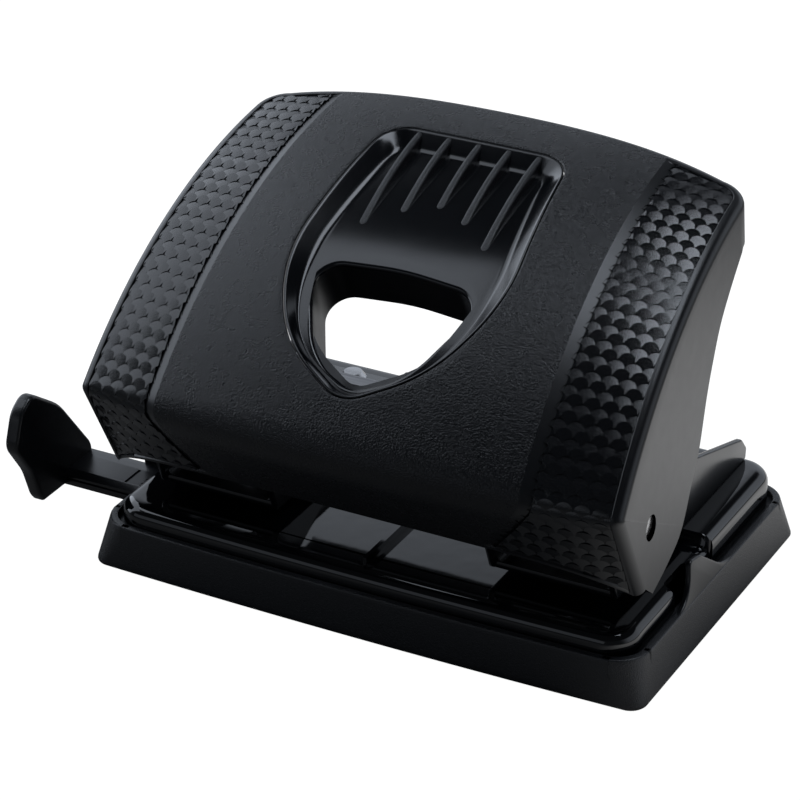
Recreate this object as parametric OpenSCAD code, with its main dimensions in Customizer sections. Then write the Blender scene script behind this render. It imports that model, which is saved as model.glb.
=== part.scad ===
// Two-hole desk punch: a plastic chip tray, a pressed steel base with two punch
// brackets, a wide sprung lever handle with a finger window, and a sliding paper guide.
// Millimetres. Origin on the floor under the middle of the base, +X to the user's right,
// +Y to the back, +Z up. Paper goes in from the front (-Y).

/* [Base] */
// Length of the base along X
base_l = 136; // [130:1:142]
// Depth of the base along Y
base_d = 88; // [86:0.5:92]
// Height of the chip tray's rim
rim_z = 11; // [10.5:0.1:11.5]
// Outward bow of the base's front edge
front_bow = 1.2; // [0:0.1:2]
// Height of the paper table
table_z = 15.3; // [15:0.1:15.6]
// Height of the raised rear part of the base plate
plateau_z = 18.2; // [17.9:0.1:18.6]

/* [Punching] */
// Distance between the two punched holes
hole_pitch = 80; // [76:1:82]
// Distance from the paper's edge to the hole centres
edge_dist = 12; // [11:0.5:13]
// Diameter of the punched holes
punch_d = 5.5; // [5:0.1:5.8]

/* [Handle] */
// Half width of the handle at its lower fold
handle_hw = 64.7; // [64:0.1:65.5]
// Half width of the handle at its top edge
handle_hw_top = 59.4; // [58:0.1:61]
// Radius of the handle's curved face, seen from the side
face_r = 112; // [111:0.5:113]
// Bulge of the face's middle at the lower fold
crown_low = 8.3; // [6:0.1:9]
// Bulge of the face's middle at the top edge
crown_top = 5; // [4:0.1:6]
// Wall thickness of the handle shell
shell_t = 2.4; // [2:0.1:2.8]

/* [Paper guide] */
// Place of the paddle's inner face at rest
paddle_x = -84; // [-90:1:-80]
// Width of the sliding bar
bar_w = 12; // [11:0.5:12.5]
// Thickness of the sliding bar
bar_t = 3.8; // [3.4:0.1:4]

/* [Hidden] */
$fn = 48;
e = 0.01;

// Paper stop, and the punch line in front of it
stop_y = 2;
punch_x = hole_pitch / 2;
punch_y = stop_y - edge_dist;
punch_r = punch_d / 2;
punch_tip_z = plateau_z + 0.3;
punch_head_z = 37.2;
clip_z = 35.1;
clip_t = 0.7;
bush_top_z = 23;
run_gap = 0.05;

// Handle pivot
hinge_y = -33.2;
hinge_z = 38.9;
pin_r = 2.75;

// Base plate
sheet = 1.6;
plate_hx = base_l / 2 - 4.6;
plate_y = base_d / 2 - 2.8;
plate_bottom = 9.5;

// Punch brackets
ear_out = 56.3;
ear_in = 26;
ear_t = 1.6;
rivet_x = 41;
rivet_y = [14, 31];
rivet_r = 1.9;
die_r = 4.45;

// Handle face: an arc about (face_cy, face_cz) in the YZ plane, angles from +Y
face_cy = 38.8;
face_cz = -20.3;
fold_a = 142.4;
top_a = 97.4;
top_bow_a = 3;
face_steps = 12;
skirt_steps = 3;
span_steps = 16;
span_end = 0.985;

// Sliding bar
bar_y = -22.5;
bar_z = 8.3;
bar_end = 40;
channel_z = 6.4;
channel_hy = 8;

// ---------- shared outlines ----------

// Arc points about c from angle a to angle b
function arc(c, r, a, b, n) = [for (i = [0:n]) c + r * [cos(a + (b - a) * i / n), sin(a + (b - a) * i / n)]];

// Base outline with rounded corners and a bowed front
function base_outline(hx, hy, r, bow) = concat(
    [for (i = [0:8]) let (x = -(hx - r) + (hx - r) * i / 4) [x, -hy - bow * (1 - pow(x / hx, 2))]],
    arc([hx - r, -hy + r], r, -80, 0, 4),
    arc([hx - r, hy - r], r, 0, 90, 5),
    arc([-hx + r, hy - r], r, 90, 180, 5),
    arc([-hx + r, -hy + r], r, 180, 260, 4));

// Closed outline with each corner [x, y, radius] rounded
function unit(v) = v / norm(v);
function corner(p, q, s, r) =
    let (u = unit(p - q), v = unit(s - q), h = acos(u * v) / 2, c = q + unit(u + v) * r / sin(h),
         a = q + u * r / tan(h), b = q + v * r / tan(h),
         a0 = atan2(a[1] - c[1], a[0] - c[0]), d0 = atan2(b[1] - c[1], b[0] - c[0]) - a0,
         d = d0 > 180 ? d0 - 360 : (d0 < -180 ? d0 + 360 : d0))
    [for (i = [0:5]) c + r * [cos(a0 + d * i / 5), sin(a0 + d * i / 5)]];
function rounded(k) =
    let (n = len(k), p = [for (c = k) [c[0], c[1]]])
    [for (i = [0:n - 1]) each corner(p[(i + n - 1) % n], p[i], p[(i + 1) % n], k[i][2])];
function mirrored(half) = concat(half, [for (i = [len(half) - 1:-1:0]) if (half[i][0] > 0)
    [-half[i][0], half[i][1], half[i][2]]]);

// Grip recess and finger window, as x and distance along the face from the fold
shield = rounded(mirrored([[0, 8.4, 9], [17, 18.8, 16], [26.2, 37, 14], [22.4, 80, 8]]));
window = rounded(mirrored([[0, 12.6, 6], [10.5, 17.8, 12], [21, 39, 4.5], [0, 40.6, 60]]));

module yz(x, h) translate([x, 0, 0]) rotate([90, 0, 90]) linear_extrude(h) children();
module both() {
    children();
    mirror([1, 0, 0]) children();
}

// ---------- base ----------

// Thumb tab as y, height up the tray's sloping wall, and corner radius
tab = rounded([[-26, 8.5, 0.5], [-26, 11, 1], [-14.2, 11.4, 8], [-11.7, 20.1, 0.8], [-6.6, 19.2, 4.5],
    [4.3, 11.5, 14], [14, 11.2, 1], [14, 8.5, 0.5]]);

module chip_tray() color([0.09, 0.09, 0.1]) {
    lean = 1.8;
    tab_t = 1.5;
    tab_step = 0.15;
    rim_hx = base_l / 2 - lean;
    rim_hy = base_d / 2 - 1;
    wall = 1.7;
    difference() {
        union() {
            hull() {
                linear_extrude(e) polygon(base_outline(base_l / 2, base_d / 2, 8, front_bow));
                translate([0, 0, rim_z - e])
                    linear_extrude(e) polygon(base_outline(rim_hx, rim_hy, 8, front_bow));
            }
            // thumb tabs, just inside the outer face of the sloping side walls
            both() translate([base_l / 2, 0, 0]) rotate([0, -atan(lean / rim_z), 0])
                yz(-tab_t, tab_t - tab_step) polygon(tab);
        }
        translate([0, 0, 2])
            linear_extrude(rim_z) polygon(base_outline(rim_hx - wall - 2, rim_hy - wall - 2, 5, front_bow));
        translate([0, 0, plate_bottom - 0.1])
            linear_extrude(rim_z) polygon(base_outline(rim_hx - wall, rim_hy - wall, 6.6, front_bow));
        // slot that the guide bar crosses
        translate([-base_l / 2 - 1, bar_y - bar_w / 2 - 0.7, bar_z - 0.4])
            cube([8, bar_w + 1.4, rim_z]);
    }
}

module plate_body(hx, hy, z0, front_z, back_z, r) {
    intersection() {
        translate([0, 0, z0]) linear_extrude(back_z - z0) polygon(base_outline(hx, hy, r, front_bow));
        union() {
            translate([-hx, -base_d, z0]) cube([2 * hx, 2 * base_d, front_z - z0]);
            translate([-hx, stop_y + (back_z == plateau_z ? 0 : sheet), z0]) cube([2 * hx, base_d, back_z - z0]);
        }
    }
}

module base_plate() color([0.05, 0.05, 0.055]) difference() {
    plate_body(plate_hx, plate_y, plate_bottom, table_z, plateau_z, 6);
    plate_body(plate_hx - sheet, plate_y - sheet, plate_bottom - 1, table_z - sheet, plateau_z - sheet, 4.6);
    // die seats
    both() translate([punch_x, punch_y, 0]) cylinder(r = die_r + run_gap, h = 30);
    // rivet holes
    both() for (y = rivet_y) translate([rivet_x, y, 0]) cylinder(r = rivet_r + run_gap, h = 30);
    // notches for the tray's tabs, deeper in front
    both() translate([60.2, -16.6, 0]) cube([8, 11.6, 30]);
    both() translate([62.7, -5.5, 0]) cube([8, 9.2, 30]);
    // way out for the guide bar
    translate([-plate_hx - 1, bar_y - bar_w / 2 - 0.6, 0]) cube([4, bar_w + 1.2, bar_z + bar_t + 0.4]);
    // centre mark on the table
    translate([-0.3, -39, table_z - 0.3]) cube([0.6, 24, 1]);
}

module ear_profile(back) {
    difference() {
        union() {
            translate([hinge_y, hinge_z]) circle(r = 5.8);
            polygon(back
                ? [[-31.5, plateau_z], [39.2, plateau_z], [39.6, 21], [36.4, 24.3], [10, 32.6],
                    [-29.5, 43.4], [-38.8, 37.4]]
                : [[-31.5, plateau_z], [34, plateau_z], [34, 23.6], [-15, 23.6], [-22, 28],
                    [-27.7, 40.6], [-38.8, 37.4]]);
        }
        translate([hinge_y, hinge_z]) circle(r = pin_r + 0.01);
    }
}

module bracket() color([0.07, 0.07, 0.075]) {
    yz(ear_out - ear_t, ear_t) ear_profile(true);
    yz(ear_in, ear_t) ear_profile(false);
    difference() {
        translate([ear_in, -31.5, plateau_z]) cube([ear_out - ear_in, 65.5, ear_t]);
        translate([punch_x, punch_y, 0]) cylinder(r = die_r, h = 30);
        for (y = rivet_y) translate([rivet_x, y, 0]) cylinder(r = rivet_r + run_gap, h = 30);
    }
}

module rivet() {
    translate([0, 0, plateau_z + ear_t]) cylinder(r1 = 3.2, r2 = 2.2, h = 1.3);
    translate([0, 0, plateau_z - sheet - 0.9]) cylinder(r = rivet_r, h = sheet + ear_t + 0.9);
    translate([0, 0, plateau_z - sheet - 0.9]) cylinder(r = 3, h = 0.9);
}

module bracket_rivets() color([0.5, 0.5, 0.52]) both() for (y = rivet_y) translate([rivet_x, y, 0]) rivet();

module die() color([0.55, 0.55, 0.57]) translate([punch_x, punch_y, 0]) difference() {
    union() {
        translate([0, 0, table_z - 2.6]) cylinder(r = die_r, h = 2.6);
        translate([0, 0, table_z - 2.6]) cylinder(r = die_r + 0.55, h = 2.6 - sheet);
    }
    cylinder(r = punch_r + 0.1, h = 30);
}

// ---------- punches ----------

module guide_bush() color([0.6, 0.55, 0.35]) translate([punch_x, punch_y, 0]) difference() {
    union() {
        translate([0, 0, plateau_z + 0.1]) cylinder(r = 4.4, h = 2);
        translate([0, 0, plateau_z + ear_t]) cylinder(r = 6, h = 1.3);
        translate([0, 0, plateau_z + ear_t]) cylinder(r = 4.4, h = bush_top_z - plateau_z - ear_t);
    }
    cylinder(r = punch_r + run_gap, h = 40);
}

module punch() color([0.62, 0.62, 0.64]) translate([punch_x, punch_y, 0]) difference() {
    union() {
        translate([0, 0, punch_tip_z]) cylinder(r = punch_r, h = punch_head_z - 0.8 - punch_tip_z);
        translate([0, 0, punch_head_z - 0.8]) cylinder(r1 = punch_r, r2 = punch_r - 0.7, h = 0.8);
    }
    // clip groove
    translate([0, 0, clip_z - 0.05]) difference() {
        cylinder(r = 5, h = clip_t + 0.1);
        cylinder(r = punch_r - 0.5, h = clip_t + 0.1);
    }
    // hollow grind of the cutting edge
    translate([-5, 0, punch_tip_z - 2.2]) rotate([0, 90, 0]) cylinder(r = 3.3, h = 10);
}

module punch_clip() color([0.35, 0.35, 0.37]) translate([punch_x, punch_y, clip_z]) difference() {
    cylinder(r = punch_r + 1.7, h = clip_t);
    translate([0, 0, -1]) cylinder(r = punch_r - 0.45, h = 3);
    translate([-0.9, 0, -1]) cube([1.8, 9, 3]);
}

module helix(r, wire, z0, z1, turns) {
    sides = 6;
    steps = 14 * turns;
    ring = [for (k = [0:sides - 1]) 360 * k / sides];
    pts = [for (i = [0:steps]) each
        let (a = 360 * turns * i / steps, z = z0 + wire + (z1 - z0 - 2 * wire) * i / steps)
        [for (b = ring) [(r + wire * cos(b)) * cos(a), (r + wire * cos(b)) * sin(a), z + wire * sin(b)]]];
    walls = [for (i = [0:steps - 1], k = [0:sides - 1])
        [i * sides + k, i * sides + (k + 1) % sides, (i + 1) * sides + (k + 1) % sides, (i + 1) * sides + k]];
    polyhedron(pts, concat([for (f = walls) [f[3], f[2], f[1], f[0]]], [[for (k = [0:sides - 1]) k]],
        [[for (k = [sides - 1:-1:0]) steps * sides + k]]), 4);
}

module punch_spring() color([0.65, 0.65, 0.68])
    translate([punch_x, punch_y, 0]) helix(3.7, 0.4, bush_top_z + 0.05, clip_z - 0.05, 6);

// ---------- hinge ----------

module hinge_pin() color([0.6, 0.6, 0.62]) translate([0, hinge_y, hinge_z]) rotate([0, 90, 0]) difference() {
    translate([0, 0, 24]) cylinder(r = pin_r, h = 39.3);
    translate([0, 0, 24.9]) difference() {
        cylinder(r = 5, h = 0.9);
        cylinder(r = pin_r - 0.5, h = 0.9);
    }
}

module hinge_spacers() color([0.12, 0.12, 0.13]) both()
    translate([ear_out + 0.05, hinge_y, hinge_z]) rotate([0, 90, 0]) difference() {
        cylinder(r = 4.6, h = 4.9);
        translate([0, 0, -1]) cylinder(r = pin_r + 0.02, h = 9);
    }

module pin_clips() color([0.35, 0.35, 0.37]) both()
    translate([24.95, hinge_y, hinge_z]) rotate([0, 90, 0]) difference() {
        cylinder(r = 4.6, h = 0.8);
        translate([0, 0, -1]) cylinder(r = pin_r - 0.45, h = 3);
        translate([-9, -0.9, -1]) cube([9, 1.8, 3]);
    }

// ---------- lever ----------

arm_dir = [0.545, 0.839];
tongue_len = 25;
screw_x = [36.5, 43.5];

module arm_side(x) yz(x, 1.8) difference() {
    union() {
        translate([hinge_y, hinge_z]) circle(r = 5.4);
        translate([punch_y, 41.3]) circle(r = 4.4);
        polygon([[hinge_y, hinge_z + 5], [hinge_y + 3, hinge_z - 3.5], [punch_y - 4, 38.4],
            [punch_y + 8, 36.2], [punch_y + 8, 39.4], [punch_y, 45.7]]);
    }
    translate([hinge_y, hinge_z]) circle(r = pin_r + run_gap);
}

module pressure_lever() color([0.5, 0.5, 0.52]) {
    both() {
        arm_side(32);
        arm_side(46.2);
        // nose that bears on the punch head
        translate([32, punch_y, 41.3]) rotate([0, 90, 0]) cylinder(r = 3.9, h = 16);
        // screw tongue, up inside the shell
        difference() {
            yz(32, 16) polygon([[hinge_y + 1, hinge_z + 4.4], [hinge_y + 2.8, hinge_z + 3.4],
                [hinge_y + 2.8 + arm_dir[0] * tongue_len, hinge_z + 3.4 + arm_dir[1] * tongue_len],
                [hinge_y + 1 + arm_dir[0] * tongue_len, hinge_z + 4.4 + arm_dir[1] * tongue_len]]);
            for (x = screw_x) screw_axis(x) cylinder(r = 1.6, h = 30, center = true);
        }
    }
    // cross bar that keeps both sides together
    yz(-32.1, 64.2) polygon([[punch_y + 3, 36.9], [punch_y + 8, 36.2], [punch_y + 8, 39.4], [punch_y + 3, 40]]);
}

// Frame of a lever screw at x, +Z towards the shell
module screw_axis(x) translate([x, hinge_y + 2 + arm_dir[0] * 18, hinge_z + 4 + arm_dir[1] * 18])
    rotate([atan2(arm_dir[1], arm_dir[0]), 0, 0]) children();

module lever_screws() color([0.6, 0.6, 0.62]) both() for (x = screw_x) screw_axis(x) {
    translate([0, 0, -2.65]) cylinder(r = 2.8, h = 1.6);
    translate([0, 0, -1.1]) cylinder(r = 1.5, h = 8);
}

// ---------- handle ----------

function along(s) = s / face_r * 180 / PI;
function half_w(a) = handle_hw - (handle_hw - handle_hw_top) * (fold_a - a) / (fold_a - top_a);
function bulge(u, a) =
    let (t = (fold_a - a) / (fold_a - top_a))
    (crown_low + (crown_top - crown_low) * t) * (1 - pow(abs(u), 2 + 1.2 * t));
function face_pt(u, a, d) = [u * half_w(a), face_cy + (face_r + bulge(u, a) - d) * cos(a),
    face_cz + (face_r + bulge(u, a) - d) * sin(a)];
function top_angle(u) = top_a - top_bow_a * (1 - u * u);
function fold_pt(u) = face_pt(u, fold_a, 0) + [0, -2.4, -3.1] * (1 - u * u);
function hem_pt(u) = let (g = 1 - pow(abs(u), 8)) [u * handle_hw, -35.4 - 12.8 * g, 22.5 + 11 * g];
function skirt_pt(u, t) = hem_pt(u) + (fold_pt(u) - hem_pt(u)) * t;

// Outer line of one section: hem, skirt, fold, face, top edge and the wall behind it
function section_out(u) = concat(
    [for (i = [0:skirt_steps]) skirt_pt(u, i / skirt_steps)],
    [for (i = [1:face_steps]) face_pt(u, fold_a + (top_angle(u) - fold_a) * i / face_steps, 0)],
    [face_pt(u, top_angle(u) - 1.2, 8)]);
function side_dir(p, q) = let (d = q - p, n = norm([d[1], d[2]])) [0, d[2], -d[1]] / n;
function section_in(o) = [for (i = [0:len(o) - 1])
    let (a = i == 0 ? side_dir(o[0], o[1]) : side_dir(o[i - 1], o[i]),
         b = i == len(o) - 1 ? a : side_dir(o[i], o[i + 1]),
         m = a + b)
    o[i] + m * shell_t * 2 / (m * m)];
function section(u) = let (o = section_out(u), n = section_in(o))
    concat(o, [for (i = [len(n) - 1:-1:0]) n[i]]);

module swept_face() {
    us = [for (i = [0:span_steps]) span_end * (2 * i / span_steps - 1)];
    rows = [for (u = us) section(u)];
    m = len(rows[0]);
    n = len(rows);
    pts = [for (r = rows) each r];
    walls = [for (j = [0:n - 2], k = [0:m - 1])
        [j * m + k, j * m + (k + 1) % m, (j + 1) * m + (k + 1) % m, (j + 1) * m + k]];
    ends = [for (k = [0:m / 2 - 2]) each
        [[k, m - 1 - k, m - 2 - k, k + 1],
         [(n - 1) * m + k + 1, (n - 1) * m + m - 2 - k, (n - 1) * m + m - 1 - k, (n - 1) * m + k]]];
    polyhedron(pts, concat(walls, ends), 6);
}

// Prism of an outline given along the face, cut square to the face's middle
module face_prism(outline, low, high) {
    a = fold_a - along(45);
    translate([0, face_cy, face_cz]) rotate([a - 90, 0, 0]) translate([0, 0, face_r + low])
        linear_extrude(high - low) polygon([for (p = outline)
            let (b = along(p[1] - 45)) [p[0], (face_r + 4) * sin(b)]]);
}

// Slab that follows the face between two depths below it
module face_slab(d0, d1) {
    nu = 12;
    na = 14;
    us = [for (i = [0:nu]) 0.5 * (2 * i / nu - 1)];
    as = [for (j = [0:na]) fold_a - along(4) - (along(81)) * j / na];
    pts = concat([for (u = us, a = as) face_pt(u, a, d0)], [for (u = us, a = as) face_pt(u, a, d1)]);
    w = na + 1;
    h = (nu + 1) * w;
    top = [for (i = [0:nu - 1], j = [0:na - 1]) [i * w + j, i * w + j + 1, (i + 1) * w + j + 1, (i + 1) * w + j]];
    under = [for (f = top) [f[3] + h, f[2] + h, f[1] + h, f[0] + h]];
    ends = [for (j = [0:na - 1]) each [[j, j + h, j + 1 + h, j + 1],
        [nu * w + j + 1, nu * w + j + 1 + h, nu * w + j + h, nu * w + j]]];
    sides = [for (i = [0:nu - 1]) each [[(i + 1) * w, (i + 1) * w + h, i * w + h, i * w],
        [i * w + na, i * w + na + h, (i + 1) * w + na + h, (i + 1) * w + na]]];
    polyhedron(pts, concat(top, under, ends, sides), 6);
}

// Cheek outline: face edge, top corner, rear edge, lower tip
cheek_back = [[25.4, 85.5], [25, 82.2], [13.5, 73.1], [7.5, 67.3], [3.2, 60.7], [-0.4, 53.9], [-4.7, 43.5],
    [-8.5, 38.2], [-15, 29.2], [-22.8, 25.3], [-32.2, 22.1], [-35.4, 22.3], [-48.9, 46.6]];

module cheek() {
    tilt = atan2(handle_hw - handle_hw_top, face_r * (fold_a - top_a) * PI / 180);
    up = [0, 0.845, 0.534];
    difference() {
        translate([handle_hw, -49.9, 48]) rotate(a = tilt, v = [0, -up[2], up[1]])
            translate([-shell_t, 49.9, -48]) yz(0, shell_t) polygon(concat(cheek_back,
                [for (i = [0:face_steps]) let (a = fold_a + (top_a - 0.5 - fold_a) * i / face_steps)
                    [face_cy + face_r * cos(a), face_cz + face_r * sin(a)]]));
        translate([50, hinge_y, hinge_z]) rotate([0, 90, 0]) cylinder(r = pin_r + run_gap, h = 30);
    }
}

module handle_shell() color([0.08, 0.08, 0.085]) {
    difference() {
        union() {
            swept_face();
            // screw bosses
            both() for (x = screw_x) screw_axis(x) translate([0, 0, 1.1]) cylinder(r = 3.3, h = 15.8);
        }
        face_prism(shield, -20, 20);
        both() for (x = screw_x) screw_axis(x) translate([0, 0, -1]) cylinder(r = 1.55, h = 9);
    }
    both() cheek();
}

// Grip ribs: spacing, half width, upper end, and lower end of the outer, next and middle ribs
rib_pitch = 7.3;
rib_half = 0.9;
rib_top = 77;
rib_low = [51, 56.5, 59.5];

module grip_rib(i) {
    low = rib_low[2 - abs(i)];
    left = i * rib_pitch - rib_half;
    right = i * rib_pitch + rib_half;
    intersection() {
        face_slab(0.4, 4);
        face_prism([[left, low], [right, low], [right, rib_top], [left, rib_top]], -20, 20);
    }
}

module grip_insert() color([0.06, 0.06, 0.065]) {
    difference() {
        union() {
            intersection() {
                face_slab(2.6, 5);
                face_prism([for (p = shield) [p[0] * 0.996, 45 + (p[1] - 45) * 0.996]], -22, 20);
            }
            intersection() {
                face_prism([for (p = window) [p[0] * 1.1, 28 + (p[1] - 28) * 1.14]], -17, 20);
                face_slab(3, 16);
            }
        }
        face_prism(window, -40, 30);
    }
    for (i = [-2:2]) grip_rib(i);
}

// ---------- paper guide ----------

paddle = rounded([[-37.4, 8.3, 1], [-18, 8.3, 2], [-16, 12.8, 5], [-29, 29.5, 20], [-39.6, 36.9, 3.5],
    [-44.4, 34, 6], [-47.3, 26, 4], [-41.5, 17.5, 14], [-38.8, 10, 6]]);

module paper_guide() color([0.08, 0.08, 0.085]) {
    difference() {
        translate([paddle_x - 0.5, bar_y - bar_w / 2, bar_z])
            cube([bar_end - paddle_x + 0.5, bar_w, bar_t]);
        // groove along the front edge
        translate([paddle_x, bar_y - bar_w / 2 - 1, bar_z + 1.4]) cube([200, 1.5, 0.5]);
        // size marks across the top
        for (x = [-69.2, -60, -48])
            translate([x, bar_y - bar_w / 2 + 1.4, bar_z + bar_t - 0.3]) cube([0.8, 6.3, 1]);
    }
    yz(paddle_x - 3.5, 3.5) polygon(paddle);
}

module guide_channel() color([0.1, 0.1, 0.11]) difference() {
    translate([-58, bar_y - channel_hy + 0.2, channel_z])
        cube([114, 2 * channel_hy - 0.8, table_z - sheet - channel_z]);
    translate([-59, bar_y - bar_w / 2 - 0.3, bar_z - 0.4]) cube([116, bar_w + 0.6, bar_t + 0.8]);
    // open floor, to save plastic and hold the detent
    translate([-30, bar_y - 4, channel_z - 1]) cube([74, 8, 4]);
}

// Leaf spring under the channel's floor, its crest just below the bar
module guide_detent() color([0.6, 0.6, 0.62]) translate([0, bar_y + 2, channel_z]) rotate([90, 0, 0])
    linear_extrude(4) polygon([[-38, -0.5], [-18, -0.5], [-12, 1.2], [-8, -0.2], [-8, 0.3], [-12, 1.7],
        [-18.2, 0], [-38, 0]]);

chip_tray();
base_plate();
mirror([1, 0, 0]) bracket();  // bracket_left
bracket();  // bracket_right
bracket_rivets();
mirror([1, 0, 0]) die();  // die_left
die();  // die_right
mirror([1, 0, 0]) guide_bush();  // guide_bush_left
guide_bush();  // guide_bush_right
mirror([1, 0, 0]) punch();  // punch_left
punch();  // punch_right
mirror([1, 0, 0]) punch_clip();  // punch_clip_left
punch_clip();  // punch_clip_right
mirror([1, 0, 0]) punch_spring();  // punch_spring_left
punch_spring();  // punch_spring_right
mirror([1, 0, 0]) hinge_pin();  // hinge_pin_left
hinge_pin();  // hinge_pin_right
hinge_spacers();
pin_clips();
pressure_lever();
lever_screws();
handle_shell();
grip_insert();
paper_guide();
guide_channel();
guide_detent();
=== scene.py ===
"""Looks of a two-hole desk punch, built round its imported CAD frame. Lengths here are millimetres."""
import math

import bmesh
import bpy
import numpy as np
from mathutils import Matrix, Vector


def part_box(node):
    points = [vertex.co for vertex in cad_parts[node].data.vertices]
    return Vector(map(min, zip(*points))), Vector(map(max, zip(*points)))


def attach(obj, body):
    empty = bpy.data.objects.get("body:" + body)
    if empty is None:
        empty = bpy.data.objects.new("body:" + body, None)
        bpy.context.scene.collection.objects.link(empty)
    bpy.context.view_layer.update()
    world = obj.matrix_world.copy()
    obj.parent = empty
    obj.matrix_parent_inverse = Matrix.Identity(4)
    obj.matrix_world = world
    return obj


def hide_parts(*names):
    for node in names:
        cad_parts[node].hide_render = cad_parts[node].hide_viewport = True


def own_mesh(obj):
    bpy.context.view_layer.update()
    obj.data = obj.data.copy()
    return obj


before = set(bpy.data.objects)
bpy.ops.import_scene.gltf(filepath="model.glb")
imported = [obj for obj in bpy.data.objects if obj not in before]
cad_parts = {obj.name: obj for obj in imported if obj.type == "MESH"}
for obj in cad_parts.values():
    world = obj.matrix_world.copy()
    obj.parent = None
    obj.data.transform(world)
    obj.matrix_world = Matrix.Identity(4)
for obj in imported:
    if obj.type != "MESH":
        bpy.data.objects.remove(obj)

MM = 0.001
QUARTER = math.pi / 2
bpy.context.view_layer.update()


def box_mm(node):
    """Lowest and highest corner of a CAD node in millimetres."""
    low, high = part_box(node)
    return np.array(low) / MM, np.array(high) / MM


def middle_of(node):
    low, high = box_mm(node)
    return (low + high) / 2


# ---------- meshes from points ----------

WELD = 0.004
FINE_WELD = 0.0005


class Shape:
    """Points in millimetres, the faces between them, and a paint number for each face."""

    def __init__(self):
        self.points = []
        self.faces = []
        self.paint = []

    def grid(self, rows, paint=0, close=False, flip=False):
        """Quads over rows of points. close joins each row's end to its start."""
        rows = np.asarray(rows, float)
        count, length = rows.shape[:2]
        start = len(self.points)
        self.points.extend(rows.reshape(-1, 3))
        for i in range(count - 1):
            for j in range(length if close else length - 1):
                k = (j + 1) % length
                a, b = start + i * length, start + (i + 1) * length
                quad = [a + j, a + k, b + k, b + j]
                self.faces.append(quad[::-1] if flip else quad)
                self.paint.append(paint)

    def cap(self, loop):
        """One flat face over a closed loop."""
        start = len(self.points)
        self.points.extend(np.asarray(loop, float))
        self.faces.append(list(range(start, start + len(loop))))
        self.paint.append(0)

    def add(self, other):
        start = len(self.points)
        self.points.extend(other.points)
        self.faces.extend([[start + i for i in face] for face in other.faces])
        self.paint.extend(other.paint)

    def reflected(self):
        """The reflection in the YZ plane."""
        other = Shape()
        other.points = [np.array([-p[0], p[1], p[2]]) for p in self.points]
        other.faces = [face[::-1] for face in self.faces]
        other.paint = list(self.paint)
        return other

    def mirrored(self):
        """This shape and its reflection in the YZ plane."""
        both = Shape()
        both.add(self)
        both.add(self.reflected())
        return both


def mesh_of(shape, name, weld=WELD):
    """A Blender mesh in metres, with points nearer than weld joined."""
    mesh = bpy.data.meshes.new(name)
    points = np.asarray(shape.points, float) * MM
    mesh.from_pydata(points.tolist(), [], shape.faces)
    mesh.polygons.foreach_set("material_index", np.array(shape.paint, np.int32))
    body = bmesh.new()
    body.from_mesh(mesh)
    bmesh.ops.remove_doubles(body, verts=body.verts, dist=weld * MM)
    bmesh.ops.dissolve_degenerate(body, edges=body.edges, dist=1e-7)
    body.to_mesh(mesh)
    body.free()
    return mesh


def in_scene(name, data):
    obj = bpy.data.objects.new(name, data)
    bpy.context.scene.collection.objects.link(obj)
    return obj


def evaluated_mesh(obj):
    """The object's mesh with its modifiers applied."""
    bpy.context.view_layer.update()
    depsgraph = bpy.context.evaluated_depsgraph_get()
    return bpy.data.meshes.new_from_object(obj.evaluated_get(depsgraph))


def cut(obj, shape):
    """Takes a closed shape out of obj."""
    tool = in_scene("cutter", mesh_of(shape, "cutter"))
    step = obj.modifiers.new("cut", "BOOLEAN")
    step.operation = "DIFFERENCE"
    step.solver = "EXACT"
    step.object = tool
    result = evaluated_mesh(obj)
    obj.modifiers.clear()
    obj.data = result
    bpy.data.objects.remove(tool)


def face_outward(mesh):
    work = bmesh.new()
    work.from_mesh(mesh)
    bmesh.ops.recalc_face_normals(work, faces=work.faces)
    work.to_mesh(mesh)
    work.free()


def piece(name, shape, materials, body, nodes=(), sharp=32, cutter=None, weld=WELD, outward=False):
    """A finished piece that rides on a CAD body. Edges above the sharp angle, in degrees, stay crisp."""
    obj = in_scene(name, mesh_of(shape, name, weld))
    for material in materials:
        obj.data.materials.append(material)
    if outward:
        face_outward(obj.data)
    if cutter is not None:
        cut(obj, cutter)
    obj.data.name = name
    obj.data.polygons.foreach_set("use_smooth", np.ones(len(obj.data.polygons), bool))
    obj.data.set_sharp_from_angle(angle=math.radians(sharp))
    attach(obj, body)
    if nodes:
        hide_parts(*nodes)
    return obj


# ---------- outlines and solids ----------


def unit(v):
    return v / np.linalg.norm(v)


def smooth(t):
    """0 to 1 with a soft start and end."""
    t = np.clip(t, 0, 1)
    return t * t * (3 - 2 * t)


def corner_arc(before, here, after, radius, steps):
    """Points of the arc that rounds one corner."""
    u, v = unit(before - here), unit(after - here)
    half = math.acos(np.clip(u @ v, -1, 1)) / 2
    centre = here + unit(u + v) * radius / math.sin(half)
    start = here + u * radius / math.tan(half) - centre
    end = here + v * radius / math.tan(half) - centre
    first, last = math.atan2(start[1], start[0]), math.atan2(end[1], end[0])
    turn = (last - first + math.pi) % (2 * math.pi) - math.pi
    angles = first + turn * np.arange(steps + 1) / steps
    return centre + radius * np.stack([np.cos(angles), np.sin(angles)], 1)


def rounded(corners, steps=14, gap=0.6):
    """Closed outline from [x, y, radius] corners, with straight stretches divided to about gap."""
    keys = np.array(corners, float)
    count = len(keys)
    arcs = [corner_arc(keys[i - 1][:2], keys[i][:2], keys[(i + 1) % count][:2], keys[i][2], steps)
            for i in range(count)]
    points = []
    for i, arc in enumerate(arcs):
        points.extend(arc)
        start, end = arc[-1], arcs[(i + 1) % count][0]
        parts = int(np.linalg.norm(end - start) / gap)
        points.extend(start + (end - start) * k / (parts + 1) for k in range(1, parts + 1))
    return np.array(points)


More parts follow.
